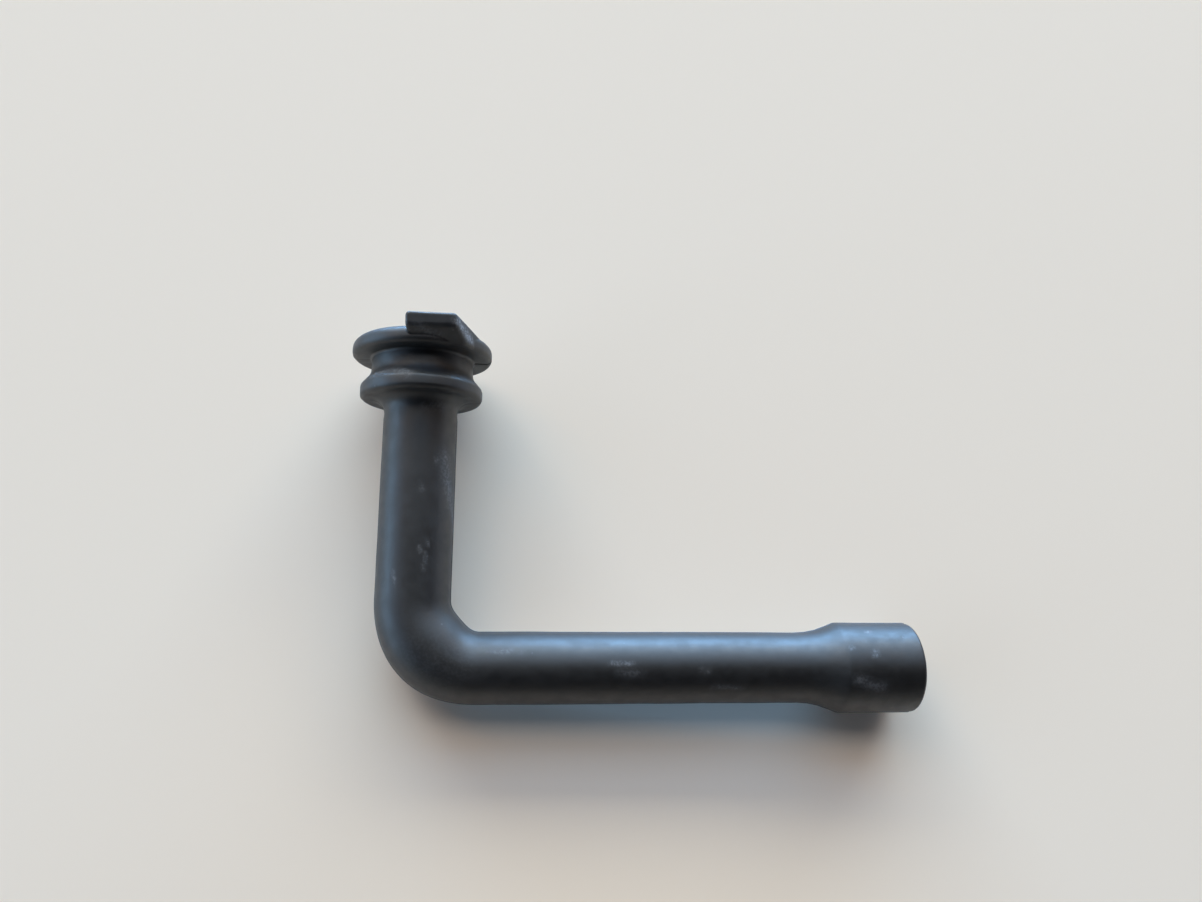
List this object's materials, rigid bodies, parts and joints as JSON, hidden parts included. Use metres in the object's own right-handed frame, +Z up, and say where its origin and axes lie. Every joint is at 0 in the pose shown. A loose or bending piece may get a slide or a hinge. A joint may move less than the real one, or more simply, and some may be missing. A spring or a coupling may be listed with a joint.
{
  "type": "chainsaw oil hose",
  "caption": "L-shaped moulded rubber hose with a grooved grommet head and lug at one end and a widened push-on socket at the other, carrying chain oil from tank to pump.",
  "frame": {"origin": "middle of the grommet groove, on the short leg's axis", "axes": "+Z up from the surface the hose lies on, lug side up; +X along the long leg towards its socket; +Y along the short leg towards its head"},
  "size_m": [0.0593, 0.0385, 0.0157],
  "materials": {
    "rubber": "satin black moulded rubber"
  },
  "bodies": {
    "root": {"oil_hose": "rubber"}
  },
  "joints": []
}
